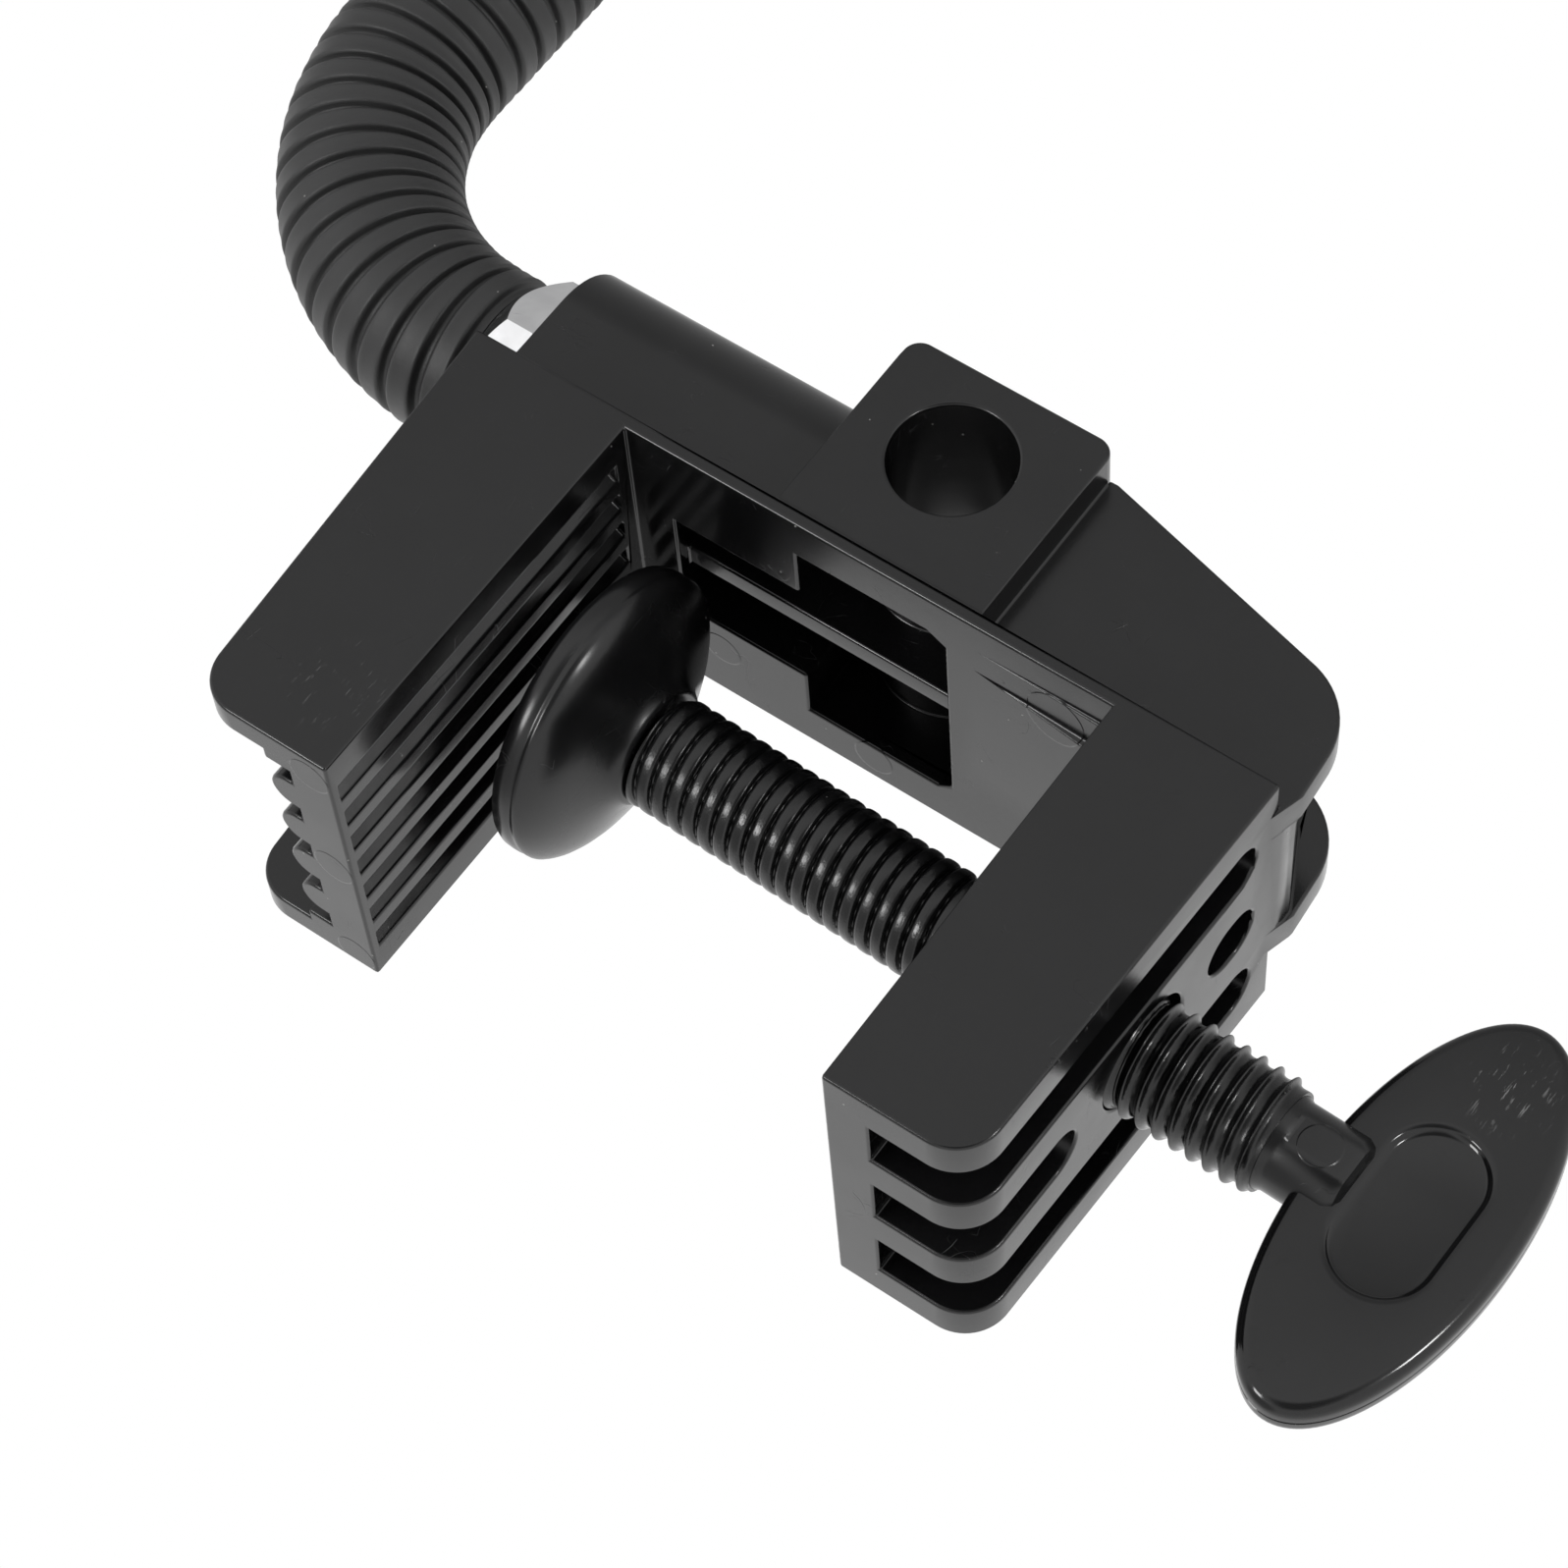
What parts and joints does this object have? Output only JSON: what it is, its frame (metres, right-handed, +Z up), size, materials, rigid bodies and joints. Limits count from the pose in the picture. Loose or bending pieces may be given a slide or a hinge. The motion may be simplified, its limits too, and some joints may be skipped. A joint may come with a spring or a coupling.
{
  "type": "clamp-on airbrush holder stand",
  "caption": "Bench clamp with an oval screw key and a flexible ribbed neck, which carries a tilting bar with open cradles for airbrushes.",
  "frame": {"origin": "where the axis of the screw's hole meets the gripping face of the fixed jaw", "axes": "+Z up, along the screw's hole from the screw arm to the fixed jaw; +Y from the spine to the arm tips, over the bench; +X across the clamp"},
  "size_m": [0.099, 0.1562, 0.3866],
  "materials": {
    "body": "moulded black plastic, softly glossy",
    "pad": "moulded black plastic, polished",
    "sleeve": "matt black ribbed sleeve",
    "liner": "soft matt black",
    "plated": "bright plating",
    "steel": "drawn steel",
    "brass": "turned brass"
  },
  "bodies": {
    "clamp": {"clamp_frame": "body", "lower_stud": "steel", "lower_nut": "plated", "neck_sleeve_1": "sleeve", "neck_core_1": "steel"},
    "pad": {"pressure_pad": "pad"},
    "screw": {"clamp_screw": "body"},
    "neck_2": {"neck_sleeve_2": "sleeve", "neck_core_2": "steel"},
    "neck_3": {"neck_sleeve_3": "sleeve", "neck_core_3": "steel"},
    "neck_4": {"neck_sleeve_4": "sleeve", "neck_core_4": "steel"},
    "neck_5": {"neck_sleeve_5": "sleeve", "neck_core_5": "steel"},
    "neck_6": {"neck_sleeve_6": "sleeve", "neck_core_6": "steel"},
    "neck_7": {"neck_sleeve_7": "sleeve", "neck_core_7": "steel"},
    "neck_8": {"neck_sleeve_8": "sleeve", "neck_core_8": "steel"},
    "neck_9": {"neck_sleeve_9": "sleeve", "neck_core_9": "steel"},
    "neck_10": {"neck_sleeve_10": "sleeve", "neck_core_10": "steel"},
    "neck_11": {"neck_sleeve_11": "sleeve", "neck_core_11": "steel"},
    "neck_12": {"neck_sleeve_12": "sleeve", "neck_core_12": "steel"},
    "neck_13": {"neck_sleeve_13": "sleeve", "neck_core_13": "steel", "upper_stud": "steel", "upper_nut": "plated"},
    "knuckle": {"head_knuckle": "body", "pivot_bolt": "plated"},
    "knob": {"tilt_knob": "body", "knob_insert": "brass"},
    "bar": {"cradle_bar": "body", "swivel_screw_left": "plated", "swivel_screw_right": "plated", "swivel_nut_left": "plated", "swivel_nut_right": "plated"},
    "left_cradle": {"cradle_left": "body", "liner_left": "liner"},
    "right_cradle": {"cradle_right": "body", "liner_right": "liner"}
  },
  "joints": [
    {"name": "clamp_travel", "type": "slide", "parent": "clamp", "child": "pad", "axis": [0, 0.0279, -0.9996], "range_m": [-0.0066, 0.04]},
    {"name": "screw_turn", "type": "hinge", "parent": "pad", "child": "screw", "pos_m": [0, -0.00149, -0.0126], "axis": [0, 0.0279, -0.9996], "range_deg": [-1255, 7590]},
    {"name": "lower_bend", "type": "hinge", "parent": "clamp", "child": "neck_2", "pos_m": [0, -0.03095, 0.03818], "axis": [1, 0, 0], "range_deg": [-14, 7]},
    {"name": "lower_side", "type": "hinge", "parent": "neck_2", "child": "neck_3", "pos_m": [0, -0.04029, 0.05089], "axis": [0, 0.6141, 0.7893], "range_deg": [-12, 12]},
    {"name": "lower_bend_2", "type": "hinge", "parent": "neck_3", "child": "neck_4", "pos_m": [0, -0.0581, 0.057], "axis": [1, 0, 0], "range_deg": [-14, 7]},
    {"name": "lower_side_2", "type": "hinge", "parent": "neck_4", "child": "neck_5", "pos_m": [0, -0.0791, 0.057], "axis": [0, 0, 1], "range_deg": [-12, 12]},
    {"name": "lower_bend_3", "type": "hinge", "parent": "neck_5", "child": "neck_6", "pos_m": [0, -0.0991, 0.06236], "axis": [1, 0, 0], "range_deg": [-14, 7]},
    {"name": "lower_side_3", "type": "hinge", "parent": "neck_6", "child": "neck_7", "pos_m": [0, -0.11374, 0.077], "axis": [0, 0.866, 0.5], "range_deg": [-12, 12]},
    {"name": "upper_bend", "type": "hinge", "parent": "neck_7", "child": "neck_8", "pos_m": [0, -0.1191, 0.097], "axis": [1, 0, 0], "range_deg": [-12, 12]},
    {"name": "upper_side", "type": "hinge", "parent": "neck_8", "child": "neck_9", "pos_m": [0, -0.11713, 0.11957], "axis": [0, 0.9848, -0.1736], "range_deg": [-12, 12]},
    {"name": "upper_bend_2", "type": "hinge", "parent": "neck_9", "child": "neck_10", "pos_m": [0, -0.11126, 0.14146], "axis": [1, 0, 0], "range_deg": [-12, 12]},
    {"name": "upper_side_2", "type": "hinge", "parent": "neck_10", "child": "neck_11", "pos_m": [0, -0.10168, 0.162], "axis": [0, 0.866, -0.5], "range_deg": [-12, 12]},
    {"name": "upper_bend_3", "type": "hinge", "parent": "neck_11", "child": "neck_12", "pos_m": [0, -0.08869, 0.18056], "axis": [1, 0, 0], "range_deg": [-12, 12]},
    {"name": "upper_side_3", "type": "hinge", "parent": "neck_12", "child": "neck_13", "pos_m": [0, -0.07266, 0.19659], "axis": [0, 0.6428, -0.766], "range_deg": [-12, 12]},
    {"name": "head_turn", "type": "hinge", "parent": "neck_13", "child": "knuckle", "pos_m": [0, -0.04202, 0.2223], "axis": [0, 0.766, 0.6428], "range_deg": [-60, 60]},
    {"name": "head_tilt", "type": "hinge", "parent": "knuckle", "child": "bar", "pos_m": [0, -0.02877, 0.23342], "axis": [1, 0, 0], "range_deg": [-60, 60]},
    {"name": "knob_turn", "type": "hinge", "parent": "knuckle", "child": "knob", "pos_m": [0.015, -0.02877, 0.23342], "axis": [1, 0, 0], "range_deg": [0, 180]},
    {"name": "left_swivel", "type": "hinge", "parent": "bar", "child": "left_cradle", "pos_m": [-0.036, -0.01988, 0.26185], "axis": [0, 0, 1], "range_deg": [-28, 28]},
    {"name": "right_swivel", "type": "hinge", "parent": "bar", "child": "right_cradle", "pos_m": [0.036, -0.01988, 0.26185], "axis": [0, 0, 1], "range_deg": [-28, 28]}
  ],
  "couplings": [
    {"joint": "screw_turn", "follows": "clamp_travel", "rad_per_m": 3306.9},
    {"joint": "lower_bend_2", "follows": "lower_bend", "ratio": 1},
    {"joint": "lower_bend_3", "follows": "lower_bend", "ratio": 1},
    {"joint": "lower_side_2", "follows": "lower_side", "ratio": 1},
    {"joint": "lower_side_3", "follows": "lower_side", "ratio": 1},
    {"joint": "upper_bend_2", "follows": "upper_bend", "ratio": 1},
    {"joint": "upper_bend_3", "follows": "upper_bend", "ratio": 1},
    {"joint": "upper_side_2", "follows": "upper_side", "ratio": 1},
    {"joint": "upper_side_3", "follows": "upper_side", "ratio": 1}
  ]
}
